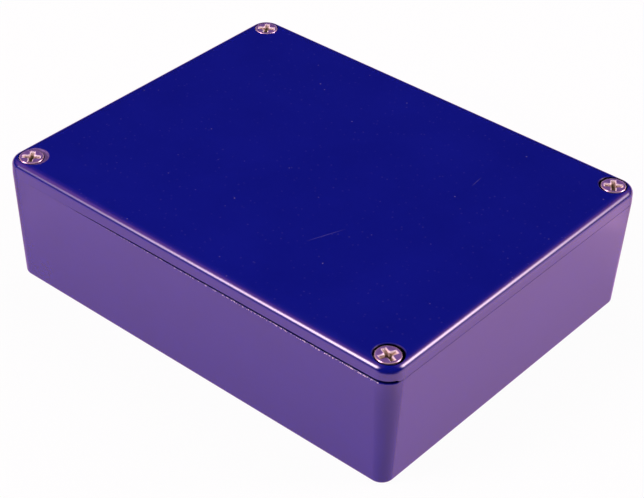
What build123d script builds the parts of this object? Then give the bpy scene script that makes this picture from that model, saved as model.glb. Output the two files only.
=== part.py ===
from build123d import *
import math
import os

# A die-cast aluminium box: a drafted box casting, a lid casting with a locating lip,
# and four countersunk screws that hold the lid down on corner posts.
# Millimetres and degrees. The origin is the middle of the base, X is the long side, Z is up.

# Closed box, with its plan size taken where the lid meets the box
length = 119.5
width = 94.0
height = 34.0
corner_radius = 4.7

# Box casting: the walls lean in towards the base, inside and outside
wall = 2.3
floor_thickness = 2.4
outside_draft_angle = 2.8
inside_draft_angle = 3.0
base_edge_radius = 1.0
floor_chamfer = 1.0

# Corner posts, which take the lid screws and run from the floor to the rim
screw_inset = 4.75
post_radius = 4.3
post_blend = 3.0
tapped_depth = 14.0
tapped_mouth_chamfer = 0.3

# Lid casting
lid_edge = 4.0
lid_panel = 2.2
lid_draft_angle = 1.5
lid_top_radius = 1.85
lip_height = 2.0
lip_thickness = 1.6
lip_draft_angle = 3.5
lip_clearance = 0.25

# Broken edges: the lid's outer edge at the parting line, both edges of the rim, and the lip's lead-in
lid_seam_chamfer = 0.4
rim_chamfer = 0.2
lip_chamfer = 0.4
chamfer_angle = 45.0

# Lid screws, No. 6-32 by half an inch, with the thread at its major diameter
screw_diameter = 3.5
screw_length = 12.7
screw_tip_chamfer = 0.5
head_diameter = 6.0
head_angle = 82.0
head_rim = 0.25
head_edge_chamfer = 0.12

# Cross recess in the screw heads
recess_span = 4.3
recess_depth = 1.7
recess_wing = 0.9
recess_core_top = 2.3
recess_core_bottom = 1.3

# Screw holes and how the screws fit in them: each head lies flush in a round well with a flared lip
thread_clearance = 0.05
seat_gap = 0.08
lid_hole_diameter = 3.9
well_diameter = 6.85
well_depth = 0.45
well_flare = 0.25

# A second countersink, which was drilled off centre towards the lid's middle at one corner
stray_diameter = 7.9
stray_shift = 0.7

# How far each screw was turned when it came tight
front_left_angle = 37.0
front_right_angle = 67.0
rear_left_angle = 33.0
rear_right_angle = 34.0

# Each corner by name: its sides along X and Y, its screw's turn,
# and how far off centre it has a second countersink, if it has one
corners = {
    "front_left": (-1, -1, front_left_angle, stray_shift),
    "front_right": (1, -1, front_right_angle, 0),
    "rear_left": (-1, 1, rear_left_angle, 0),
    "rear_right": (1, 1, rear_right_angle, 0),
}

# How near to a level an edge lies that counts as on it
level_tolerance = 0.001

# Levels and places that follow from the sizes above
rim_z = height - lid_edge
screw_x = length / 2 - screw_inset
screw_y = width / 2 - screw_inset
screw_places = [(side_x * screw_x, side_y * screw_y) for side_x, side_y, *_ in corners.values()]


def outer_outline():
    """The closed box in plan at the parting line."""
    return RectangleRounded(length, width, corner_radius)


def opening_outline(inset):
    """The mouth of the box in plan, clear of the corner posts, moved in by inset all round."""
    outline = Rectangle(length - 2 * (wall + inset), width - 2 * (wall + inset))
    for x, y in screw_places:
        outline -= Pos(x, y) * Circle(post_radius + inset)
    return fillet(outline.vertices(), post_blend - inset)


def tapered(outline, level, depth, draft, downward=False):
    """A drafted block on an outline at a level, which narrows as it goes up, or down if turned over."""
    block = extrude(outline, amount=depth, taper=draft)
    if downward:
        block = Rot(180, 0, 0) * block
    return Pos(0, 0, level) * block


def edges_at(solid, level):
    """The edges of a solid that lie flat at a level."""
    return solid.edges().filter_by_position(Axis.Z, level - level_tolerance, level + level_tolerance)


def turned(points):
    """A solid turned about Z from its half section, given as radius and height."""
    section = make_face(Plane.XZ * Polyline(*points, close=True))
    return revolve(section, Axis.Z)


def tapped_hole():
    """The cutter for a post's blind hole, with a chamfered mouth."""
    radius = screw_diameter / 2 + thread_clearance
    mouth = radius + tapped_mouth_chamfer
    return turned([
        (0, rim_z),
        (mouth, rim_z),
        (radius, rim_z - tapped_mouth_chamfer),
        (radius, rim_z - tapped_depth),
        (0, rim_z - tapped_depth),
    ])


def box_body():
    """The box casting: a drafted shell with a flat rim and four corner posts."""
    widest_z = rim_z - rim_chamfer
    shell = tapered(outer_outline(), widest_z, widest_z, outside_draft_angle, downward=True)
    shell = fillet(edges_at(shell, 0), base_edge_radius)
    shell += tapered(outer_outline(), widest_z, rim_chamfer, chamfer_angle)
    cavity = tapered(opening_outline(0), rim_z, rim_z - floor_thickness, inside_draft_angle, downward=True)
    cavity = chamfer(edges_at(cavity, floor_thickness), floor_chamfer)
    shell -= cavity
    shell -= tapered(opening_outline(-rim_chamfer), rim_z, 2 * rim_chamfer, chamfer_angle, downward=True)
    for x, y in screw_places:
        shell -= Pos(x, y) * tapped_hole()
    return shell


def cone_depth(radius):
    """How deep a cone of the screw head's angle is, for its radius."""
    return radius / math.tan(math.radians(head_angle / 2))


def screw_well():
    """The cutter for a screw's seat in the lid: a cone under the head, and a well round it."""
    head_radius = head_diameter / 2
    seat_z = height - head_rim - seat_gap
    seat = turned([(0, seat_z - cone_depth(head_radius)), (head_radius, seat_z), (0, seat_z)])
    radius = well_diameter / 2
    well = turned([
        (0, height - well_depth),
        (radius, height - well_depth),
        (radius, height - well_flare),
        (radius + well_flare, height),
        (0, height),
    ])
    return seat + well


def stray_countersink():
    """The cutter for the second countersink."""
    radius = stray_diameter / 2
    return turned([(0, height - cone_depth(radius)), (radius, height), (0, height)])


def lid():
    """The lid casting: a rounded plate with a lip inside its edge and four countersunk holes."""
    widest_z = rim_z + lid_seam_chamfer
    plate = tapered(outer_outline(), widest_z, height - widest_z, lid_draft_angle)
    plate = fillet(edges_at(plate, height), lid_top_radius)
    plate += tapered(outer_outline(), widest_z, lid_seam_chamfer, chamfer_angle, downward=True)
    lip_bottom = rim_z - lip_height
    lip = tapered(opening_outline(lip_clearance), rim_z, lip_height, lip_draft_angle, downward=True)
    plate += chamfer(edges_at(lip, lip_bottom), lip_chamfer)
    pocket_depth = lip_height + lid_edge - lid_panel
    pocket = opening_outline(lip_clearance + lip_thickness)
    plate -= tapered(pocket, lip_bottom, pocket_depth, lip_draft_angle)
    for side_x, side_y, turn, shift in corners.values():
        x = side_x * screw_x
        y = side_y * screw_y
        plate -= Pos(x, y, height) * Cylinder(lid_hole_diameter / 2, 2 * lid_edge)
        plate -= Pos(x, y) * screw_well()
        if shift:
            step = shift / math.sqrt(2)
            plate -= Pos(x - side_x * step, y - side_y * step) * stray_countersink()
    return plate


def cross_recess():
    """The cutter for a cross recess with its top at Z = 0: two tapered wings and a tapered core."""
    half_span = recess_span / 2
    half_tip = recess_core_bottom / 2
    side = make_face(
        Plane.XZ * Polyline(
            (-half_span, 0), (-half_tip, -recess_depth), (half_tip, -recess_depth), (half_span, 0), close=True
        )
    )
    wing = extrude(side, amount=recess_wing / 2, both=True)
    core = turned([
        (0, 0),
        (recess_core_top / 2, 0),
        (recess_core_bottom / 2, -recess_depth),
        (0, -recess_depth),
    ])
    return core + wing + Rot(0, 0, 90) * wing


def lid_screw(turn):
    """A countersunk machine screw on the Z axis, at its height in the closed box."""
    head_radius = head_diameter / 2
    shank_radius = screw_diameter / 2
    neck_z = height - head_rim - cone_depth(head_radius - shank_radius)
    tip_z = height - screw_length
    screw = turned([
        (0, height),
        (head_radius, height),
        (head_radius, height - head_rim),
        (shank_radius, neck_z),
        (shank_radius, tip_z + screw_tip_chamfer),
        (shank_radius - screw_tip_chamfer, tip_z),
        (0, tip_z),
    ])
    screw = chamfer(edges_at(screw, height), head_edge_chamfer)
    return screw - Pos(0, 0, height) * Rot(0, 0, turn) * cross_recess()


os.makedirs("parts", exist_ok=True)
export_step(box_body(), "parts/box_body.step")
export_step(lid(), "parts/lid.step")
for name, (side_x, side_y, turn, shift) in corners.items():
    screw = Pos(side_x * screw_x, side_y * screw_y) * lid_screw(turn)
    export_step(screw, f"parts/lid_screw_{name}.step")
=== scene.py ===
import math

import bmesh
import bpy
import numpy as np
from mathutils import Matrix, Vector


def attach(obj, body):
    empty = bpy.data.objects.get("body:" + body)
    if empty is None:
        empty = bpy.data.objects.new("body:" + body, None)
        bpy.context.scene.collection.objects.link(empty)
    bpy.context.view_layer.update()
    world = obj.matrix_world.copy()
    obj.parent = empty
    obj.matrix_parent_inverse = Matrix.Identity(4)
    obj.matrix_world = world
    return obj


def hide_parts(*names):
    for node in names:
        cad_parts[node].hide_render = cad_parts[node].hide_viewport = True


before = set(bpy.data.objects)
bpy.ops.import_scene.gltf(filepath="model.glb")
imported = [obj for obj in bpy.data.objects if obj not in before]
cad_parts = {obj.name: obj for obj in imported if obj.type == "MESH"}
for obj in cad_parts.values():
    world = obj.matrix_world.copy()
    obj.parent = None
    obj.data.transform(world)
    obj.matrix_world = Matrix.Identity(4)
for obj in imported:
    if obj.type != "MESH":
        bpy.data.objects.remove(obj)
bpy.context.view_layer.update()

# A gloss blue die-cast box with a screwed lid, dressed round its CAD frame.
# Sizes are millimetres and degrees in the CAD's own frame; meshes are scaled to metres as they are made.
MM = 0.001

# Closed box, with its plan size taken where the lid meets the box
length = 119.5
width = 94.0
height = 34.0
lid_height = 4.0
corner_radius = 4.7
rim_z = height - lid_height
core_x = length / 2 - corner_radius
core_y = width / 2 - corner_radius

# Box casting
wall = 2.3
floor_z = 2.4
outside_draft = math.radians(2.8)
inside_draft = math.radians(3.0)
base_edge_radius = 1.0
floor_fillet = 1.2
mouth_round = 0.2

# Rounding of the rim's outer edge, at places along the front
rim_round_places = (-38.0, -14.0, 42.0, 52.0, 55.0)
rim_rounds = (0.01, 0.06, 0.10, 0.20, 0.36)

# Corner posts and their tapped holes
screw_inset = 4.75
screw_x = length / 2 - screw_inset
screw_y = width / 2 - screw_inset
post_radius = 4.3
post_blend = 3.0
tapped_depth = 14.0
tapped_radius = 1.8
tapped_groove = 2.08
tapped_mouth = 0.3

# Lid casting
lid_draft = math.radians(1.5)
lid_top_radius = 1.75
crown_radius = 7.0
crown_angle = 12.0
lip_height = 2.0
lip_clearance = 0.25
lip_thickness = 1.6
lip_draft = math.radians(3.5)
lip_round = 0.4
panel_thickness = 2.2
pocket_fillet = 0.5
lid_hole_radius = 1.95
lip_bottom = rim_z - lip_height
panel_z = height - panel_thickness

# Lower edge of the lid: its rounding, and how far it stands off the rim, at places along the front.
# Inside the contact line the two castings touch, and the lid bends up from there.
seam_round_places = (-40.0, -26.0)
seam_rounds = (0.008, 0.06)
seam_round_sides = 0.11
seam_places = (-38.0, -30.0, -14.0, 20.0, 42.0, 54.0, 56.0)
seam_gaps = (0.0, 0.17, 0.34, 0.44, 0.46, 0.51, 0.53)
seam_contact = 2.0
seam_bend_inset = 0.6 * seam_contact
seam_bend_rise = 0.7

# Where the opened parting line shuts again, as turns round the near corner
seam_shut_from = math.radians(-26.0)
seam_shut_to = math.radians(-18.0)

# Ejector pin marks
mark_inset = 18.0
mark_radius = 3.0
mark_depth = 0.15
mark_x = length / 2 - mark_inset
mark_y = width / 2 - mark_inset

# Lid screws
head_radius = 3.0
head_half_angle = math.radians(41.0)
head_rim = 0.25
head_round = 0.24
shank_root = 1.36
shank_crest = 1.73
screw_length = 12.7
tip_chamfer = 0.5

# Screw thread: where its flanks start and end in each turn, and how it fades at its ends, as shares of a turn
thread_pitch = 0.794
thread_phases = (0.2, 0.42, 0.58, 0.8)
thread_run_out = 0.7
thread_lead = 1.5
thread_spare_turns = 3

# Cross recess in the screw heads
recess_half_span = 2.08
recess_half_tip = 0.7
recess_half_wing = 0.46
recess_half_wing_tip = 0.36
recess_depth = 1.7
recess_round = 0.42
recess_tip_round = 0.2
recess_edge = 0.26

# Each corner: its sides along X and Y, and the turn of its screw
corners = {
    "front_left": (-1, -1, 37.0),
    "front_right": (1, -1, 67.0),
    "rear_left": (-1, 1, 33.0),
    "rear_right": (1, 1, 34.0),
}

# Wells that the screw heads lie in: the gap under a head, the well's depth, and the tip of the cone below it
seat_gap = 0.3
well_depth = 0.6
well_tip = 0.1

# Each well's clearance round its head, the rounding of its lip, and how far off centre it lies along X and Y
well_fits = {
    "front_left": (0.15, 0.10, 0.0, 0.0),
    "front_right": (0.40, 0.45, 0.05, 0.14),
    "rear_left": (0.08, 0.08, 0.0, 0.0),
    "rear_right": (0.30, 0.40, -0.14, 0.04),
}

# A second, shallow countersink, which was drilled off centre at one corner
stray_corner = "front_left"
stray_radius = 3.6
stray_shift = 0.6
stray_depth = 0.35
stray_lip = 0.1

# How finely the curved parts are divided
blend_steps = 7
post_steps = 10
corner_steps = 2 * blend_steps + post_steps
side_points = 20
fillet_steps = 16
small_steps = 4
round_steps = 64
thread_steps = 32

# How far cutters stand out of what they cut, and limits for joining points, in metres, and choosing normals
overcut = 1.0
weld_distance = 1e-8
level_slack = 0.001
tiny = 1e-6
facing_limit = 0.8
flat_weight = 80
casting_sharp_angle = 38.0
screw_sharp_angle = 30.0

# Material slots of the castings; the CUT slot takes the darkened paint that is painted shade in the wells and
# the parting line
PAINT, CUT, BARE, WORN = 0, 1, 2, 3


def arc(centre, radius, start, end, steps):
    """Points along an arc about a centre, in plan or in a section, with angles in degrees."""
    angles = np.radians(np.linspace(start, end, steps + 1))
    return [(centre[0] + radius * math.cos(angle), centre[1] + radius * math.sin(angle)) for angle in angles]


def circle(radius, steps, centre=(0.0, 0.0)):
    """A closed loop round a circle in plan."""
    return np.array(arc(centre, radius, 0, 360 - 360 / steps, steps - 1))


def closed_loop(corner):
    """A closed loop from its points in the +X +Y corner, mirrored to the others, with the sides divided."""
    mirrored = [
        corner,
        [(-x, y) for x, y in reversed(corner)],
        [(-x, -y) for x, y in corner],
        [(x, -y) for x, y in reversed(corner)],
    ]
    points = []
    for here, after in zip(mirrored, mirrored[1:] + mirrored[:1]):
        points += here
        start, end = np.array(here[-1]), np.array(after[0])
        for step in range(1, side_points + 1):
            points.append(tuple(start + (end - start) * step / (side_points + 1)))
    return np.array(points)


# The outside in plan at the parting line, and where each of its points goes for an inset of one millimetre
outside = closed_loop(arc((core_x, core_y), corner_radius, 0, 90, corner_steps))
inward = closed_loop(arc((core_x, core_y), corner_radius - 1, 0, 90, corner_steps)) - outside


def outer_loop(inset):
    """The outside of the box in plan, moved in by inset, or by one inset per point."""
    return outside + np.broadcast_to(inset, len(outside))[:, None] * inward


def mouth_loop(inset):
    """The mouth of the box in plan, which goes round the posts, moved in by inset."""
    reach = post_radius + post_blend
    blend_x = length / 2 - wall - post_blend
    blend_y = width / 2 - wall - post_blend
    low = (blend_x, screw_y - math.sqrt(reach ** 2 - (screw_x - blend_x) ** 2))
    left = (screw_x - math.sqrt(reach ** 2 - (screw_y - blend_y) ** 2), blend_y)
    swing = math.degrees(math.acos((screw_x - blend_x) / reach))
    tilt = math.degrees(math.asin((screw_y - blend_y) / reach))
    corner = arc(low, post_blend - inset, 0, swing, blend_steps)[:-1]
    corner += arc((screw_x, screw_y), post_radius + inset, 180 + swing, 180 + tilt, post_steps)
    corner += arc(left, post_blend - inset, tilt, 90, blend_steps)[1:]
    return closed_loop(corner)


class Skin:
    """A closed mesh made of rings, one after the other, with a cap at each end."""

    def __init__(self):
        self.points = []
        self.faces = []
        self.slots = []
        self.last = None

    def ring(self, loop, level, slot=PAINT):
        """Adds a ring at a level, or at one level per point, and joins it to the ring before."""
        first = len(self.points)
        levels = np.broadcast_to(level, len(loop))
        self.points += [(x, y, z) for (x, y), z in zip(loop, levels)]
        new = list(range(first, len(self.points)))
        if self.last:
            count = len(new)
            for i in range(count):
                j = (i + 1) % count
                self.face([self.last[i], self.last[j], new[j], new[i]], slot)
        self.last = new

    def sweep(self, loop_of, profile, slot=PAINT):
        """Adds a ring for each inset and height of a section."""
        for inset, level in profile:
            self.ring(loop_of(inset), level, slot)

    def face(self, corners_of, slot):
        """Adds a face, by the numbers of its points."""
        self.faces.append(corners_of)
        self.slots.append(slot)

    def cap(self, slot=PAINT, underside=False):
        """Closes the last ring with a flat face."""
        self.face(self.last[::-1] if underside else self.last, slot)

    def join(self, other):
        """Adds another closed skin."""
        start = len(self.points)
        self.points += other.points
        self.faces += [[i + start for i in face] for face in other.faces]
        self.slots += other.slots

    def mesh(self, name):
        """A Blender mesh of the skin, in metres."""
        made = bpy.data.meshes.new(name)
        points = [(x * MM, y * MM, z * MM) for x, y, z in self.points]
        made.from_pydata(points, [], self.faces)
        made.polygons.foreach_set("material_index", self.slots)
        return made


def turned(profile, steps, centre=(0.0, 0.0), slot=CUT):
    """A solid turned about an upright axis from its section, as radius and height, from the bottom up."""
    skin = Skin()
    for radius, level in profile:
        skin.ring(circle(radius, steps, centre), level, slot)
        if len(skin.points) == steps:
            skin.cap(slot, underside=True)
    skin.cap(slot)
    return skin


def thread(skin, root, crest, bottom, top, end_radius, centre=(0.0, 0.0), slot=CUT):
    """Adds a tube with a right-hand screw thread along it; its ends run out to end_radius."""
    radii = (root, crest, crest, root)
    rows = len(thread_phases)
    turns = math.ceil((top - bottom) / thread_pitch) + thread_spare_turns
    run_out = thread_run_out * thread_pitch
    first = len(skin.points)
    count = turns * rows
    for i in range(thread_steps):
        angle = 2 * math.pi * i / thread_steps
        for j in range(count):
            turn = j // rows + thread_phases[j % rows] + i / thread_steps - thread_lead
            level = min(max(bottom + turn * thread_pitch, bottom), top)
            share = min(1.0, min(level - bottom, top - level) / run_out)
            radius = end_radius + (radii[j % rows] - end_radius) * share
            skin.points.append((
                centre[0] + radius * math.cos(angle),
                centre[1] + radius * math.sin(angle),
                level,
            ))
    for i in range(thread_steps):
        wrap = rows if i == thread_steps - 1 else 0
        after = first + ((i + 1) % thread_steps) * count + wrap
        here = first + i * count
        for j in range(count - 1 - wrap):
            skin.face([here + j, after + j, after + j + 1, here + j + 1], slot)


def link(name, mesh, materials):
    """A new object of a mesh, with its materials in the slots that its faces name."""
    obj = bpy.data.objects.new(name, mesh)
    bpy.context.scene.collection.objects.link(obj)
    for material in materials:
        mesh.materials.append(material)
    return obj


def weld(mesh):
    """Joins points that lie on each other and drops faces that have no area."""
    work = bmesh.new()
    work.from_mesh(mesh)
    bmesh.ops.remove_doubles(work, verts=work.verts, dist=weld_distance)
    bmesh.ops.dissolve_degenerate(work, edges=work.edges, dist=weld_distance)
    bmesh.ops.recalc_face_normals(work, faces=work.faces)
    work.to_mesh(mesh)
    work.free()


def applied(obj):
    """Makes an object's mesh what its modifiers give."""
    seen = bpy.context.evaluated_depsgraph_get()
    made = bpy.data.meshes.new_from_object(obj.evaluated_get(seen))
    obj.modifiers.clear()
    old = obj.data
    obj.data = made
    made.name = obj.name
    bpy.data.meshes.remove(old)


def cut(obj, skin):
    """Cuts a closed skin out of an object."""
    mesh = skin.mesh("cutter")
    weld(mesh)
    cutter = link("cutter", mesh, list(obj.data.materials))
    modifier = obj.modifiers.new("cut", "BOOLEAN")
    modifier.operation = "DIFFERENCE"
    modifier.solver = "EXACT"
    modifier.object = cutter
    applied(obj)
    bpy.data.objects.remove(cutter)
    bpy.data.meshes.remove(mesh)


def smooth(obj, sharp_angle):
    """Welds an object and shades it smooth up to its sharp edges, with flat faces kept flat."""
    mesh = obj.data
    weld(mesh)
    mesh.polygons.foreach_set("use_smooth", [True] * len(mesh.polygons))
    mesh.set_sharp_from_angle(angle=math.radians(sharp_angle))
    modifier = obj.modifiers.new("normals", "WEIGHTED_NORMAL")
    modifier.mode = "FACE_AREA"
    modifier.weight = flat_weight
    modifier.keep_sharp = True
    applied(obj)


def with_normals(points):
    """A section's points with its normal at each, outward and upward, from the points beside it."""
    listed = []
    for i, (inset, level) in enumerate(points):
        before = points[max(i - 1, 0)]
        after = points[min(i + 1, len(points) - 1)]
        step = (after[0] - before[0], after[1] - before[1])
        size = math.hypot(*step)
        listed.append((inset, level, step[1] / size, step[0] / size))
    return listed


def true_normals(obj, section, lowest, highest):
    """Sets the exact normals of the swept outside of a casting, between two levels, from its section."""
    mesh = obj.data
    points = np.empty(len(mesh.vertices) * 3)
    mesh.vertices.foreach_get("co", points)
    points = points.reshape(-1, 3) / MM
    beyond = np.maximum(np.abs(points[:, :2]) - (core_x, core_y), 0)
    reach = np.linalg.norm(beyond, axis=1)
    out = beyond / np.maximum(reach, tiny)[:, None] * np.sign(points[:, :2])
    here = np.stack([corner_radius - reach, points[:, 2]], axis=1)
    knots = np.array(with_normals(section))
    best = np.full(len(points), np.inf)
    exact = np.zeros((len(points), 2))
    for start, end in zip(knots, knots[1:]):
        along = end[:2] - start[:2]
        share = np.clip((here - start[:2]) @ along / max(along @ along, tiny), 0, 1)
        away = np.linalg.norm(here - start[:2] - share[:, None] * along, axis=1)
        normal = start[2:] + share[:, None] * (end[2:] - start[2:])
        nearer = away < best
        best[nearer] = away[nearer]
        exact[nearer] = normal[nearer]
    full = np.concatenate([out * exact[:, :1], exact[:, 1:]], axis=1)
    full /= np.maximum(np.linalg.norm(full, axis=1), tiny)[:, None]
    normals = np.empty(len(mesh.loops) * 3)
    mesh.corner_normals.foreach_get("vector", normals)
    normals = normals.reshape(-1, 3)
    for polygon in mesh.polygons:
        if polygon.material_index != PAINT:
            continue
        of_face = list(polygon.vertices)
        levels = points[of_face, 2]
        if levels.min() < lowest or levels.max() > highest:
            continue
        if (full[of_face] @ np.array(polygon.normal)).min() < facing_limit:
            continue
        for loop in polygon.loop_indices:
            normals[loop] = full[mesh.loops[loop].vertex_index]
    mesh.normals_split_custom_set([tuple(normal) for normal in normals])


# Materials

# The range that most values of a noise lie in
noise_low = 0.3
noise_high = 0.7


class Nodes:
    """A node tree, with short ways to add and join nodes."""

    def __init__(self, tree):
        self.tree = tree

    def add(self, kind, **settings):
        """A new node with its settings."""
        node = self.tree.nodes.new(kind)
        for key, value in settings.items():
            setattr(node, key, value)
        return node

    def join(self, socket, value):
        """Links a socket to another node's output, or sets the socket's own value."""
        if hasattr(value, "is_output"):
            self.tree.links.new(value, socket)
        else:
            socket.default_value = value

    def set(self, node, **values):
        """Sets or links a node's sockets by their names."""
        for key, value in values.items():
            self.join(node.inputs[key.replace("_", " ")], value)

    def math(self, operation, first, second, clamp=False):
        """Arithmetic on two numbers, held between 0 and 1 if clamped."""
        node = self.add("ShaderNodeMath", operation=operation, use_clamp=clamp)
        self.join(node.inputs[0], first)
        self.join(node.inputs[1], second)
        return node.outputs[0]

    def times(self, first, second):
        """The product of two numbers."""
        return self.math("MULTIPLY", first, second)

    def vector(self, operation, *values, scale=None):
        """Vector arithmetic, which gives a number for a length, a distance or a dot product."""
        node = self.add("ShaderNodeVectorMath", operation=operation)
        for socket, value in zip(node.inputs, values):
            self.join(socket, value)
        if scale is not None:
            self.join(node.inputs["Scale"], scale)
        gives_number = operation in ("LENGTH", "DISTANCE", "DOT_PRODUCT")
        return node.outputs["Value" if gives_number else "Vector"]

    def split(self, vector):
        """A vector's X, Y and Z."""
        node = self.add("ShaderNodeSeparateXYZ")
        self.set(node, Vector=vector)
        return node.outputs["X"], node.outputs["Y"], node.outputs["Z"]

    def mix(self, share, first, second):
        """A colour between two others."""
        node = self.add("ShaderNodeMix", data_type="RGBA")
        self.join(node.inputs[0], share)
        for socket, value in ((node.inputs[6], first), (node.inputs[7], second)):
            self.join(socket, value if hasattr(value, "is_output") else (*value, 1.0))
        return node.outputs[2]

    def ramp(self, value, low, high, to_low=0.0, to_high=1.0):
        """A value taken from one range to another, and held at its ends."""
        node = self.add("ShaderNodeMapRange")
        self.set(node, Value=value, From_Min=low, From_Max=high, To_Min=to_low, To_Max=to_high)
        return node.outputs[0]

    def ramp_mm(self, value, low, high, to_low=0.0, to_high=1.0):
        """A ramp over a distance or level, whose range is given in millimetres."""
        return self.ramp(value, low * MM, high * MM, to_low, to_high)


class Material(Nodes):
    """A material's node tree, with the textures that the materials share."""

    def __init__(self, name):
        self.material = bpy.data.materials.new(name)
        self.material.use_nodes = True
        super().__init__(self.material.node_tree)
        self.tree.nodes.clear()
        self.output = self.add("ShaderNodeOutputMaterial")

    def place(self):
        """The place on the object, in metres."""
        return self.add("ShaderNodeTexCoord").outputs["Object"]

    def noise(self, where, scale, detail=2.0, roughness=0.5):
        """A noise over the object, with its scale as the number of swells in a metre."""
        node = self.add("ShaderNodeTexNoise")
        self.set(node, Vector=where, Scale=scale, Detail=detail, Roughness=roughness)
        return node.outputs["Fac"]

    def spread(self, noise, to_low=0.0, to_high=1.0):
        """A noise spread over a range."""
        return self.ramp(noise, noise_low, noise_high, to_low, to_high)

    def cells(self, where, scale):
        """How far a place in plan lies from the middle of its cell, as a share of a cell."""
        node = self.add("ShaderNodeTexVoronoi", voronoi_dimensions="2D")
        self.set(node, Vector=where, Scale=scale)
        return node.outputs["Distance"]

    def bump(self, level, depth, strength=0.5):
        """A normal from a height field of a depth in millimetres."""
        node = self.add("ShaderNodeBump")
        self.set(node, Height=level, Distance=depth * MM, Strength=strength)
        return node.outputs[0]

    def mix_shader(self, share, first, second):
        """A shader between two others."""
        node = self.add("ShaderNodeMixShader")
        for socket, value in zip(node.inputs, (share, first.outputs[0], second.outputs[0])):
            self.join(socket, value)
        return node

    def finish(self, shader):
        """Puts a shader on the surface and gives the material."""
        self.join(self.output.inputs["Surface"], shader.outputs[0])
        return self.material

    def principled(self, **values):
        """Finishes the material with a principled shader."""
        shader = self.add("ShaderNodeBsdfPrincipled")
        self.set(shader, **values)
        return self.finish(shader)


# Gloss paint
paint_dark = (0.0030, 0.0060, 0.203)
paint_light = (0.0041, 0.0076, 0.228)
paint_ior = 1.5

# Dust on the lid's face: cells in a metre, each speck's size from its middle as shares of a cell,
# and the noise that picks specks. Finer, fainter dust lies between them.
dust_colour = (0.16, 0.15, 0.36)
dust_band = (height - 0.4, height - 0.2)
speck_cells = 85.0
speck_size = (0.008, 0.018)
speck_pick = (0.46, 0.70)
fine_cells = 310.0
fine_size = (0.03, 0.09)
fine_pick = (0.40, 0.70)
fine_strength = 0.15

# Scratches in the lid's face, from end to end in plan, and how they fade sideways
scratches = (((16.2, -23.8), (19.9, -13.9)), ((30.6, 19.2), (30.1, 23.8)))
scratch_fade = (0.05, 0.14)

# Chipped paint on the rim, near-white so that the chipped spots also paint the rim edge's glints as painted
# highlights: its levels, where it starts and is full along the front, how near to the front it lies, and the
# noise that picks the chipped spots
chip_and_glint_colour = (0.90, 0.82, 0.94)
chip_glint_below = (rim_z - 0.42, rim_z - 0.30)
chip_glint_above = (rim_z + 0.005, rim_z + 0.03)
chip_glint_along = (-30.0, 45.0)
chip_glint_front = (0.6 - width / 2, 0.3 - width / 2)
chip_glint_pick = (0.58, 0.61)


def scratch(nodes, where, start, end):
    """A fine straight scratch in the lid's face, from start to end in plan, which fades to its ends."""
    first = Vector((*start, height)) * MM
    along = Vector((*end, height)) * MM - first
    past = nodes.vector("SUBTRACT", where, first)
    share = nodes.vector("DOT_PRODUCT", past, along / along.length_squared)
    foot = nodes.vector("SCALE", along, scale=nodes.math("MULTIPLY", share, 1.0, clamp=True))
    away = nodes.vector("DISTANCE", past, foot)
    ends = nodes.math("MULTIPLY", share, nodes.math("SUBTRACT", 1.0, share), clamp=True)
    return nodes.times(nodes.ramp_mm(away, *scratch_fade, 1.0, 0.0), ends)


def lid_dust(nodes, where, level):
    """Dust on the lid's face, and its scratches."""
    specks = nodes.ramp(nodes.cells(where, speck_cells), *speck_size, 1.0, 0.0)
    specks = nodes.times(specks, nodes.ramp(nodes.noise(where, scale=60.0, detail=1.0), *speck_pick))
    fine = nodes.ramp(nodes.cells(where, fine_cells), *fine_size, fine_strength, 0.0)
    fine = nodes.times(fine, nodes.ramp(nodes.noise(where, scale=170.0), *fine_pick))
    dust = nodes.times(nodes.math("MAXIMUM", specks, fine), nodes.ramp_mm(level, *dust_band))
    for start, end in scratches:
        dust = nodes.math("MAXIMUM", dust, scratch(nodes, where, start, end))
    return dust


def rim_chips_and_glints(nodes, where, x, y, z):
    """Chipped spots in the paint along the front of the rim, which also stand as painted highlights for the
    rim's glints.
    """
    band = nodes.times(nodes.ramp_mm(z, *chip_glint_below), nodes.ramp_mm(z, *chip_glint_above, 1.0, 0.0))
    front = nodes.times(nodes.ramp_mm(x, *chip_glint_along), nodes.ramp_mm(y, *chip_glint_front))
    spots = nodes.ramp(nodes.noise(where, scale=2600.0, detail=1.0), *chip_glint_pick)
    return nodes.times(nodes.times(band, front), spots)


def gloss_paint():
    """Deep blue gloss paint with a faint orange peel, dust, two fine scratches and a chipped front rim, whose
    chipped spots are also painted highlights.
    """
    nodes = Material("gloss_blue_paint")
    where = nodes.place()
    x, y, z = nodes.split(where)
    clouds = nodes.noise(where, scale=45.0, detail=4.0, roughness=0.6)
    colour = nodes.mix(nodes.spread(clouds), paint_dark, paint_light)
    colour = nodes.mix(lid_dust(nodes, where, z), colour, dust_colour)
    # Chipped spots on the front rim: partly wear, partly painted highlights for the rim's glints
    chips_and_glints = rim_chips_and_glints(nodes, where, x, y, z)
    peel = nodes.bump(nodes.noise(where, scale=620.0), depth=0.012)
    return nodes.principled(
        Base_Color=nodes.mix(chips_and_glints, colour, chip_and_glint_colour),
        Roughness=nodes.spread(nodes.noise(where, scale=140.0, detail=3.0), 0.09, 0.13),
        IOR=paint_ior,
        Normal=peel,
        Coat_Weight=nodes.ramp(chips_and_glints, 0.0, 1.0, 1.0, 0.0),
        Coat_Roughness=0.04,
        Coat_IOR=paint_ior,
        Coat_Normal=peel,
    )


# Dull paint: black in the wells up to their lips, and navy in the parting line, both painted shade darker
# than the paint itself
painted_well_shade = (0.0004, 0.0004, 0.002)
painted_seam_shade = (0.0018, 0.0035, 0.075)
well_lip_band = (height - 0.16, height - 0.03)
seam_band = (rim_z + 1.2, rim_z + 0.9)
lip_specular = 0.5


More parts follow.
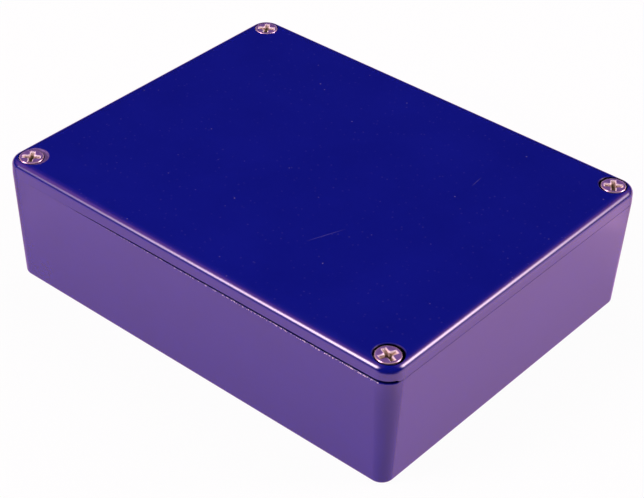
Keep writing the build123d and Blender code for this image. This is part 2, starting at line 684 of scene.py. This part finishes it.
def well_paint_and_shade():
    """Thin paint with little gloss where the spray hardly reached, darkened as painted shade: navy in the
    parting line, and black down in the wells.
    """
    nodes = Material("well_paint_and_shade")
    where = nodes.place()
    _, _, z = nodes.split(where)
    lit = nodes.ramp_mm(z, *well_lip_band)
    # Painted shade below the lip: black in the wells and darkened navy in the parting line
    painted_shade = nodes.mix(nodes.ramp_mm(z, *seam_band), painted_well_shade, painted_seam_shade)
    grain = nodes.noise(where, scale=900.0, detail=3.0, roughness=0.6)
    return nodes.principled(
        Base_Color=nodes.mix(lit, painted_shade, paint_dark),
        Roughness=nodes.spread(grain, 0.3, 0.45),
        IOR=paint_ior,
        Specular_IOR_Level=nodes.times(lit, lip_specular),
        Coat_Weight=lit,
        Coat_Roughness=0.06,
        Coat_IOR=paint_ior,
        Normal=nodes.bump(grain, depth=0.01),
    )


bare_dark = (0.40, 0.40, 0.41)
bare_light = (0.62, 0.62, 0.63)


def cast_aluminium():
    """Bare die-cast aluminium with flow marks and a fine skin."""
    nodes = Material("cast_aluminium")
    where = nodes.place()
    flow = nodes.noise(where, scale=90.0, detail=5.0, roughness=0.65)
    grain = nodes.noise(where, scale=1500.0, detail=3.0, roughness=0.6)
    return nodes.principled(
        Base_Color=nodes.mix(nodes.spread(flow), bare_dark, bare_light),
        Metallic=1.0,
        Roughness=nodes.spread(flow, 0.38, 0.52),
        Normal=nodes.bump(grain, depth=0.03, strength=0.45),
    )


# Zinc plate, with its levels from the head's face and its radii from the screw's axis
zinc_light = (0.38, 0.26, 0.66)
zinc_dark = (0.26, 0.17, 0.50)
# Painted highlights: near-white on the worn rim of the head, and pale on the recess's edges
zinc_rubbed_highlight = (1.0, 0.80, 0.95)
recess_edge_highlight = (1.0, 0.93, 0.90)
recess_light = (0.80, 0.66, 0.52)
recess_dark = (0.30, 0.23, 0.10)
# Painted shade: near-black deep down in the recess
recess_shade_colour = (0.05, 0.04, 0.02)
recess_reach = (2.2, 2.5)
recess_top_band = (-0.5, -0.22)
recess_foot_band = (-2.0, -1.75)
flare_band = (-0.06, -0.02)
recess_shade_band = (-1.4, -0.7)
recess_shade_strength = 0.75
rubbed_highlight_band = (head_radius - 0.3, head_radius - 0.2)
streak_pick = (0.38, 0.52)
polish_share = 0.32
head_metallic = 0.7
recess_metallic = 0.25


def zinc_plate():
    """Bright zinc plate on steel, yellowed in the recess and darker deep in it as painted shade; worn smooth
    at its rim, where it and the recess's edges are lightened as painted highlights.
    """
    nodes = Material("zinc_plated_steel")
    where = nodes.place()
    x, y, z = nodes.split(where)
    plan = nodes.add("ShaderNodeCombineXYZ")
    nodes.set(plan, X=x, Y=y)
    radius = nodes.vector("LENGTH", plan.outputs[0])
    inside = nodes.ramp_mm(radius, *recess_reach, 1.0, 0.0)
    hollow = nodes.times(nodes.ramp_mm(z, *recess_top_band, 1.0, 0.0), inside)
    hollow = nodes.math("MULTIPLY", hollow, nodes.ramp_mm(z, *recess_foot_band), clamp=True)
    flare = nodes.times(nodes.ramp_mm(z, *flare_band, 1.0, 0.0), inside)
    rubbed_and_highlight = nodes.ramp_mm(radius, *rubbed_highlight_band)
    recess_shade = nodes.times(nodes.ramp_mm(z, *recess_shade_band, recess_shade_strength, 0.0), hollow)
    patches = nodes.noise(where, scale=900.0, detail=4.0, roughness=0.6)
    streaks = nodes.ramp(nodes.noise(where, scale=2200.0), *streak_pick)
    colour = nodes.mix(nodes.spread(patches), zinc_dark, zinc_light)
    # Painted highlights on the worn rim and the recess's edges, then painted shade deep in the recess
    colour = nodes.mix(rubbed_and_highlight, colour, zinc_rubbed_highlight)
    colour = nodes.mix(flare, colour, recess_edge_highlight)
    colour = nodes.mix(hollow, colour, nodes.mix(streaks, recess_dark, recess_light))
    polish = nodes.ramp(nodes.math("MAXIMUM", flare, rubbed_and_highlight), 0.0, 1.0, 1.0, polish_share)
    scuff = nodes.noise(where, scale=3200.0, detail=3.0, roughness=0.6)
    return nodes.principled(
        Base_Color=nodes.mix(recess_shade, colour, recess_shade_colour),
        Metallic=nodes.ramp(nodes.math("MAXIMUM", hollow, flare), 0.0, 1.0, head_metallic, recess_metallic),
        Roughness=nodes.times(nodes.spread(patches, 0.44, 0.56), polish),
        Normal=nodes.bump(scuff, depth=0.01),
    )


worn_light = (0.19, 0.135, 0.33)
worn_dark = (0.13, 0.088, 0.24)


def worn_metal():
    """Casting metal that a countersink laid bare, dulled to lilac."""
    nodes = Material("worn_metal")
    rings = nodes.noise(nodes.place(), scale=1600.0, detail=3.0, roughness=0.6)
    return nodes.principled(
        Base_Color=nodes.mix(nodes.spread(rings), worn_dark, worn_light),
        Metallic=0.5,
        Roughness=nodes.spread(rings, 0.55, 0.7),
        Normal=nodes.bump(rings, depth=0.01),
    )


paint = gloss_paint()
dull_paint_and_shade = well_paint_and_shade()
bare = cast_aluminium()
zinc = zinc_plate()
worn = worn_metal()


# Box casting


def front_share():
    """How far each point of the outside belongs to the front, which ends part way round the near corner."""
    shares = []
    for x, y in outside:
        turn = math.atan2(y + core_y, x - core_x)
        if y >= -core_y:
            shares.append(0.0)
        elif x <= core_x:
            shares.append(1.0)
        else:
            shares.append(min(max((seam_shut_to - turn) / (seam_shut_to - seam_shut_from), 0.0), 1.0))
    return np.array(shares)


def along_front(places, values, elsewhere):
    """A value for each point of the outside, which runs along the front and is the same elsewhere."""
    front = np.interp(outside[:, 0], places, values)
    return elsewhere + (front - elsewhere) * front_share()


def box_wall():
    """The outside section of the box, from the base up to just under the rim."""
    lean = outside_draft
    start_z = base_edge_radius * (1 - math.sin(lean))
    centre = (math.tan(lean) * (rim_z - start_z) + base_edge_radius * math.cos(lean), base_edge_radius)
    lower = arc(centre, base_edge_radius, -90, -180 + math.degrees(lean), 2 * small_steps + 2)
    top = 2 * max(rim_rounds)
    return lower + [(math.tan(lean) * top, rim_z - top)]


def box_mouth():
    """The inside section of the box, from the rim down to the floor."""
    lean = inside_draft
    upper = arc((-mouth_round, rim_z - mouth_round), mouth_round, 90, 0, small_steps)
    foot_z = floor_z + floor_fillet * (1 - math.sin(lean))
    middle = (math.tan(lean) * (rim_z - foot_z) + floor_fillet * math.cos(lean), floor_z + floor_fillet)
    lower = arc(middle, floor_fillet, 180 + math.degrees(lean), 270, 2 * small_steps)
    return upper + lower


def marks(level):
    """The cutter for a face's four ejector pin marks."""
    skin = Skin()
    for side_x, side_y, _ in corners.values():
        profile = [(mark_radius, level - mark_depth), (mark_radius, level + mark_depth)]
        skin.join(turned(profile, round_steps, (side_x * mark_x, side_y * mark_y), BARE))
    return skin


def tapped_holes():
    """The cutter for the posts' four tapped holes."""
    skin = Skin()
    bottom = rim_z - tapped_depth
    neck = rim_z - tapped_mouth
    mouth = tapped_radius + tapped_mouth
    for side_x, side_y, _ in corners.values():
        centre = (side_x * screw_x, side_y * screw_y)
        hole = Skin()
        hole.ring(circle(tapped_radius, thread_steps, centre), bottom)
        hole.cap(BARE, underside=True)
        thread(hole, tapped_radius, tapped_groove, bottom, neck, tapped_radius, centre, BARE)
        hole.last = None
        for radius, level in ((tapped_radius, neck), (mouth, rim_z), (mouth, rim_z + overcut)):
            hole.ring(circle(radius, thread_steps, centre), level, BARE)
        hole.cap(BARE)
        skin.join(hole)
    return skin


def make_box():
    """The box casting: a leaning wall, a rim, and a bare inside with marks and tapped holes."""
    section = box_wall()
    skin = Skin()
    skin.ring(outer_loop(section[0][0]), 0.0)
    skin.cap(underside=True)
    skin.sweep(outer_loop, section[1:])
    rounding = along_front(rim_round_places, rim_rounds, min(rim_rounds))
    # The upper half of the rim's rounding, and the rim's land after it, take the darkened paint: painted
    # shade in the parting line
    for step, (inset, drop) in enumerate(arc((1.0, -1.0), 1.0, 180, 90, small_steps)):
        slot = CUT if step > small_steps / 2 else PAINT
        skin.ring(outer_loop(rounding * inset), rim_z + rounding * drop, slot)
    mouth = box_mouth()
    skin.sweep(mouth_loop, mouth[:1], CUT)
    skin.sweep(mouth_loop, mouth[1:], BARE)
    skin.cap(BARE)
    piece = link("casting_box", skin.mesh("casting_box"), [paint, dull_paint_and_shade, bare])
    cut(piece, marks(floor_z))
    cut(piece, tapped_holes())
    smooth(piece, casting_sharp_angle)
    true_normals(piece, section, -level_slack, section[-1][1] + level_slack)
    return piece


# Lid casting


def lid_edge():
    """The outside section of the lid above its lower edge: a lean, a round edge and a slow crown."""
    lean = lid_draft
    turn = math.radians(crown_angle)
    level = height - crown_radius + (crown_radius - lid_top_radius) * math.cos(turn)
    top_of_skirt = level + lid_top_radius * math.sin(lean)
    inset = math.tan(lean) * (top_of_skirt - rim_z) + lid_top_radius * math.cos(lean)
    crown_inset = inset + (crown_radius - lid_top_radius) * math.sin(turn)
    crown_from = 90 + crown_angle
    skirt = rim_z + max(seam_gaps) + 2 * max(seam_rounds)
    section = [(math.tan(lean) * (skirt - rim_z), skirt)]
    section += arc((inset, level), lid_top_radius, 180 - math.degrees(lean), crown_from, fillet_steps)
    section += arc((crown_inset, height - crown_radius), crown_radius, crown_from, 90, small_steps)[1:]
    return section


def screw_holes():
    """The cutter for the lid's four screw holes."""
    skin = Skin()
    profile = [(lid_hole_radius, rim_z - overcut), (lid_hole_radius, height + overcut)]
    for side_x, side_y, _ in corners.values():
        skin.join(turned(profile, round_steps, (side_x * screw_x, side_y * screw_y)))
    return skin


def lip_section(radius, rounding):
    """The section of a hole's rounded lip, up to above the lid's face."""
    top = arc((radius + rounding, height - rounding), rounding, 180, 90, small_steps)
    return top + [(radius + rounding, height + overcut)]


def screw_well(name):
    """The cutter for a screw's seat in the lid: a cone under the head, and a well with a rounded lip."""
    side_x, side_y, _ = corners[name]
    clearance, lip, off_x, off_y = well_fits[name]
    slope = math.tan(head_half_angle)
    seat_z = height - head_rim - seat_gap
    well_z = height - well_depth
    ledge = head_radius - (seat_z - well_z) * slope
    radius = head_radius + clearance
    section = [(well_tip, seat_z - (head_radius - well_tip) / slope), (ledge, well_z), (radius, well_z)]
    section += lip_section(radius, lip)
    return turned(section, round_steps, (side_x * screw_x + off_x, side_y * screw_y + off_y))


def stray_countersink():
    """The cutter for the shallow countersink that was drilled off centre, towards the lid's middle."""
    side_x, side_y, _ = corners[stray_corner]
    step = stray_shift / math.sqrt(2)
    centre = (side_x * (screw_x - step), side_y * (screw_y - step))
    slope = math.tan(head_half_angle)
    section = [
        (stray_radius - stray_depth * slope, height - stray_depth),
        (stray_radius - stray_lip, height - stray_lip / slope),
    ]
    section += lip_section(stray_radius, stray_lip)[-2:]
    return turned(section, round_steps, centre, WORN)


def make_lid():
    """The lid casting: a bare pocket and lip underneath, a rounded edge, and wells for the screw heads."""
    section = lid_edge()
    lip_inner = lip_clearance + lip_thickness
    lip_outer = lip_clearance + math.tan(lip_draft) * lip_height
    pocket_top = panel_z - pocket_fillet
    pocket_inset = lip_inner + math.tan(lip_draft) * (pocket_top - lip_bottom)
    pocket = arc((pocket_inset + pocket_fillet, pocket_top), pocket_fillet, 90, 180, small_steps)
    inner_round = lip_round / 2
    inner_centre = (lip_inner - inner_round, lip_bottom + inner_round)
    inner_edge = arc(inner_centre, inner_round, 0, -90, small_steps // 2)
    outer_edge = arc((lip_outer + lip_round, lip_bottom + lip_round), lip_round, -90, -180, small_steps)
    gap = along_front(seam_places, seam_gaps, 0.0)
    rounding = along_front(seam_round_places, seam_rounds, seam_round_sides)
    skin = Skin()
    skin.ring(mouth_loop(pocket[0][0]), pocket[0][1], BARE)
    skin.cap(BARE, underside=True)
    skin.sweep(mouth_loop, pocket[1:] + inner_edge + outer_edge, BARE)
    skin.ring(mouth_loop(lip_clearance), rim_z, BARE)
    # The lid's underside margin and lower edge take the darkened paint: painted shade in the parting line
    skin.ring(outer_loop(seam_contact), rim_z, CUT)
    skin.ring(outer_loop(seam_bend_inset), rim_z + gap * seam_bend_rise, CUT)
    for inset, rise in arc((1.0, 1.0), 1.0, 270, 180, small_steps):
        skin.ring(outer_loop(rounding * inset), rim_z + gap + rounding * rise, CUT)
    skin.sweep(outer_loop, section)
    skin.cap()
    piece = link("casting_lid", skin.mesh("casting_lid"), [paint, dull_paint_and_shade, bare, worn])
    cut(piece, marks(panel_z))
    cut(piece, screw_holes())
    cut(piece, stray_countersink())
    for name in corners:
        cut(piece, screw_well(name))
    smooth(piece, casting_sharp_angle)
    face = [(corner_radius, height)]
    true_normals(piece, section + face, rim_z + max(seam_gaps), height + level_slack)
    return piece


# Lid screws


def cross_outline(span, wing, rounding):
    """A cross in plan with rounded inner corners."""
    quarter = [(span, -wing), (span, wing)]
    quarter += arc((wing + rounding, wing + rounding), rounding, 270, 180, small_steps)
    points = []
    for cosine, sine in ((1, 0), (0, 1), (-1, 0), (0, -1)):
        points += [(cosine * x - sine * y, sine * x + cosine * y) for x, y in quarter]
    return np.array(points)


def recess():
    """The cutter for a screw's cross recess, with its top at the head's face."""
    skin = Skin()
    skin.ring(cross_outline(recess_half_tip, recess_half_wing_tip, recess_tip_round), -recess_depth, CUT)
    skin.cap(CUT, underside=True)
    skin.ring(cross_outline(recess_half_span, recess_half_wing, recess_round), -recess_edge, CUT)
    flare = cross_outline(recess_half_span + recess_edge, recess_half_wing + recess_edge, recess_round)
    skin.ring(flare, 0.0, CUT)
    skin.ring(flare, overcut, CUT)
    skin.cap(CUT)
    return skin


def screw_skin():
    """A countersunk screw with its head's face at Z = 0."""
    skin = Skin()
    neck = -head_rim - (head_radius - shank_root) / math.tan(head_half_angle)
    shank_end = tip_chamfer - screw_length
    skin.ring(circle(shank_root - tip_chamfer, thread_steps), -screw_length)
    skin.cap(underside=True)
    skin.ring(circle(shank_root, thread_steps), shank_end)
    thread(skin, shank_root, shank_crest, shank_end, neck, shank_root, slot=PAINT)
    skin.last = None
    skin.ring(circle(shank_root, thread_steps), neck)
    skin.ring(circle(head_radius, thread_steps), -head_rim)
    for inset, level in arc((head_round, -head_round), head_round, 180, 90, small_steps):
        skin.ring(circle(head_radius - inset, thread_steps), level)
    skin.cap()
    return skin


def make_screw(name):
    """A lid screw in its corner, turned as far as it was when it came tight."""
    side_x, side_y, turn = corners[name]
    mesh = screw_skin().mesh(f"screw_{name}")
    weld(mesh)
    piece = link(f"screw_{name}", mesh, [zinc, zinc])
    cut(piece, recess())
    smooth(piece, screw_sharp_angle)
    place = Matrix.Translation(Vector((side_x * screw_x, side_y * screw_y, height)) * MM)
    piece.matrix_world = place @ Matrix.Rotation(math.radians(turn), 4, "Z")
    return piece


casting_box = make_box()
casting_lid = make_lid()
screws = {name: make_screw(name) for name in corners}

# What each piece stands for and moves with
for piece, body, node, finish_slot in (
    (casting_box, "box", "box_body", "blue_paint"),
    (casting_lid, "lid", "lid", "blue_paint"),
):
    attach(piece, body)
    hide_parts(node)
for name, screw in screws.items():
    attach(screw, f"screw_{name}")
    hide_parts(f"lid_screw_{name}")


# Floor, light and camera

# Direction of the photograph's view, from which the floor's glow is also placed
view_azimuth = math.radians(41.784)
view_elevation = math.radians(36.399)
front_of_view = Vector((math.sin(view_azimuth), -math.cos(view_azimuth), 0.0))

# Floor: metres across, and millimetres under the base so that the two don't share a plane
floor_size = 12.0
floor_gap = 0.03
floor_colour = (0.82, 0.80, 0.81, 1.0)
floor_white = (1.0, 1.0, 1.0, 1.0)
floor_white_share = 0.96

# Glow of the floor in reflections: its tint near the box and further off, and its strength with distance,
# weakest next to the box as a painted shadow of the box
glow_tint_near = (1.0, 0.56, 1.06)
glow_tint_far = (1.0, 0.56, 0.90)
glow_tint_reach = 30.0
glow_level = 0.94
glow_near_painted_shadow = 0.74
glow_far = 1.40
glow_reach = 60.0

# The glow that the lid's sides mirror, from a distance on, is weaker on the left and stronger on the right
lift_band = (23.0, 28.0)
lift_side = 90.0
lift_left = 0.92
lift_right = 1.20

# The glow fades in front of the near corner, towards the camera, and behind the box's left corner
ahead_pick = (0.45, 0.8)
ahead_band = (50.0, 120.0)
ahead_fade = 0.9
behind_band = (-2.0, 10.0)
behind_glow = 0.5


def floor_glow(nodes, where):
    """The tint and strength of the floor's glow, weaker next to the box as a painted shadow."""
    half_box = Vector((length, width, 0)) * MM / 2
    aside = nodes.vector("SUBTRACT", nodes.vector("ABSOLUTE", where), half_box)
    away = nodes.vector("LENGTH", nodes.vector("MAXIMUM", aside, (0, 0, 0)))
    # Painted shadow: the glow is weaker next to the box
    level = nodes.ramp_mm(away, 0.0, glow_reach, glow_level * glow_near_painted_shadow, glow_level * glow_far)
    x, _, _ = nodes.split(where)
    lift = nodes.ramp_mm(x, -lift_side, lift_side, lift_left, lift_right)
    level = nodes.times(level, nodes.ramp_mm(away, *lift_band, 1.0, lift))
    past_near = nodes.vector("SUBTRACT", where, Vector((length / 2, -width / 2, 0)) * MM)
    facing = nodes.vector("DOT_PRODUCT", nodes.vector("NORMALIZE", past_near), front_of_view)
    apart = nodes.ramp_mm(nodes.vector("LENGTH", past_near), *ahead_band, 0.0, ahead_fade)
    dim = nodes.times(nodes.ramp(facing, *ahead_pick), apart)
    level = nodes.times(level, nodes.math("SUBTRACT", 1.0, dim))
    past_left = nodes.vector("SUBTRACT", where, Vector((-length / 2, -width / 2, 0)) * MM)
    behind = nodes.vector("DOT_PRODUCT", past_left, -front_of_view)
    level = nodes.times(level, nodes.ramp_mm(behind, *behind_band, 1.0, behind_glow))
    tint = nodes.mix(nodes.ramp_mm(away, 0.0, glow_tint_reach), glow_tint_near, glow_tint_far)
    return tint, level


def floor_material():
    """A pale floor: white to the camera with the object's shadow on it, and warm white in reflections."""
    nodes = Material("pale_floor")
    path = nodes.add("ShaderNodeLightPath")
    diffuse = nodes.add("ShaderNodeBsdfDiffuse")
    nodes.set(diffuse, Color=floor_colour)
    white = nodes.add("ShaderNodeEmission")
    nodes.set(white, Color=floor_white, Strength=1.0)
    warm = nodes.add("ShaderNodeEmission")
    tint, level = floor_glow(nodes, nodes.place())
    nodes.set(warm, Color=tint, Strength=level)
    seen = nodes.times(path.outputs["Is Camera Ray"], floor_white_share)
    mirrored = nodes.math("MAXIMUM", path.outputs["Is Glossy Ray"], path.outputs["Is Transmission Ray"])
    return nodes.finish(nodes.mix_shader(mirrored, nodes.mix_shader(seen, diffuse, white), warm))


ground = Skin()
half = floor_size / 2 / MM
ground.points = [(x, y, -floor_gap) for x, y in ((-half, -half), (half, -half), (half, half), (-half, half))]
ground.face([0, 1, 2, 3], 0)
floor = link("floor", ground.mesh("floor"), [floor_material()])

# Lamps: their distances in metres, and how many spreads of its glow a panel is across
light_tint = (1.0, 0.74, 0.90)
light_distance = 1.5
haze_tint = (1.0, 0.36, 0.52)
haze_distance = 1.6
top_tint = (0.94, 0.92, 1.0)
top_distance = 0.4
panel_spreads = 5


def softbox(name, azimuth, elevation, distance, radiance, wide, tall, tint):
    """A soft panel that faces the object, brightest in its middle, with its spread in degrees each way."""
    lamp = bpy.data.lights.new(name, "AREA")
    lamp.shape = "RECTANGLE"
    lamp.size = panel_spreads * (math.radians(wide) * distance)
    lamp.size_y = panel_spreads * (math.radians(tall) * distance)
    lamp.energy = math.pi * lamp.size * lamp.size_y
    lamp.use_nodes = True
    nodes = Nodes(lamp.node_tree)
    across, down, _ = nodes.split(nodes.add("ShaderNodeNewGeometry").outputs["Parametric"])
    powers = []
    for share in (across, down):
        aside = nodes.times(nodes.math("SUBTRACT", share, 0.5), panel_spreads)
        powers.append(nodes.times(nodes.times(aside, aside), -0.5))
    glow = nodes.times(nodes.math("POWER", math.e, nodes.math("ADD", *powers)), radiance)
    emission = next(node for node in lamp.node_tree.nodes if node.type == "EMISSION")
    nodes.set(emission, Strength=glow, Color=(*tint, 1.0))
    obj = bpy.data.objects.new(name, lamp)
    bpy.context.scene.collection.objects.link(obj)
    turn = math.radians(azimuth)
    rise = math.radians(elevation)
    towards = Vector((math.cos(turn) * math.cos(rise), math.sin(turn) * math.cos(rise), math.sin(rise)))
    obj.location = towards * distance
    obj.rotation_euler = towards.to_track_quat("Z", "Y").to_euler()
    obj.visible_camera = False
    return obj


softbox(
    "softbox_left", azimuth=240.5, elevation=35.5, distance=light_distance,
    radiance=17.4, wide=7.8, tall=10.0, tint=light_tint,
)
softbox(
    "softbox_right", azimuth=40.5, elevation=30.0, distance=light_distance,
    radiance=13.2, wide=7.8, tall=10.0, tint=light_tint,
)
top_light = softbox(
    "top_light", azimuth=132.0, elevation=68.0, distance=top_distance,
    radiance=6.2, wide=7.0, tall=7.0, tint=top_tint,
)
top_light.visible_glossy = False
softbox(
    "haze_left", azimuth=213.0, elevation=47.0, distance=haze_distance,
    radiance=1.1, wide=23.0, tall=18.0, tint=haze_tint,
)
softbox(
    "haze_right", azimuth=56.0, elevation=38.0, distance=haze_distance,
    radiance=1.1, wide=17.0, tall=18.0, tint=haze_tint,
)

# Surroundings: white to the camera, a soft grey as light, and nearly dark in reflections
world_seen = (1.0, 1.0, 1.0)
world_light = (0.115, 0.112, 0.118)
world_mirrored = (0.012, 0.009, 0.010)


def studio_world():
    """The surroundings, which differ for the camera, for light and for reflections."""
    world = bpy.data.worlds.new("studio")
    world.use_nodes = True
    nodes = Nodes(world.node_tree)
    path = nodes.add("ShaderNodeLightPath")
    unseen = nodes.mix(path.outputs["Is Glossy Ray"], world_light, world_mirrored)
    backdrop = next(node for node in world.node_tree.nodes if node.type == "BACKGROUND")
    nodes.set(backdrop, Color=nodes.mix(path.outputs["Is Camera Ray"], unseen, world_seen))
    return world


bpy.context.scene.world = studio_world()

# Camera at the photograph's viewing angle: where it stands and aims in millimetres, and its lens in pixels
view_roll = math.radians(0.455)
view_distance = 455.022
aim_right = -13.517
aim_up = 8.719
focal_pixels = 1827.322
centre_pixel = 262.0
image_width = 644
sensor = 36.0
clip_start = 0.01
clip_end = 100.0

back = Vector((
    math.sin(view_azimuth) * math.cos(view_elevation),
    -math.cos(view_azimuth) * math.cos(view_elevation),
    math.sin(view_elevation),
))
level_right = Vector((math.cos(view_azimuth), math.sin(view_azimuth), 0.0))
level_up = back.cross(level_right)
right = math.cos(view_roll) * level_right + math.sin(view_roll) * level_up
up = -math.sin(view_roll) * level_right + math.cos(view_roll) * level_up
spot = (back * view_distance + right * aim_right + up * aim_up) * MM

lens = bpy.data.cameras.new("photo_view")
lens.sensor_fit = "HORIZONTAL"
lens.sensor_width = sensor
lens.lens = focal_pixels * sensor / image_width
lens.shift_x = (image_width / 2 - centre_pixel) / image_width
lens.clip_start = clip_start
lens.clip_end = clip_end
camera = bpy.data.objects.new("photo_view", lens)
bpy.context.scene.collection.objects.link(camera)
axes = Matrix((right, up, back)).transposed().to_4x4()
camera.matrix_world = Matrix.Translation(spot) @ axes
bpy.context.scene.camera = camera

bpy.context.scene.view_settings.view_transform = "Standard"
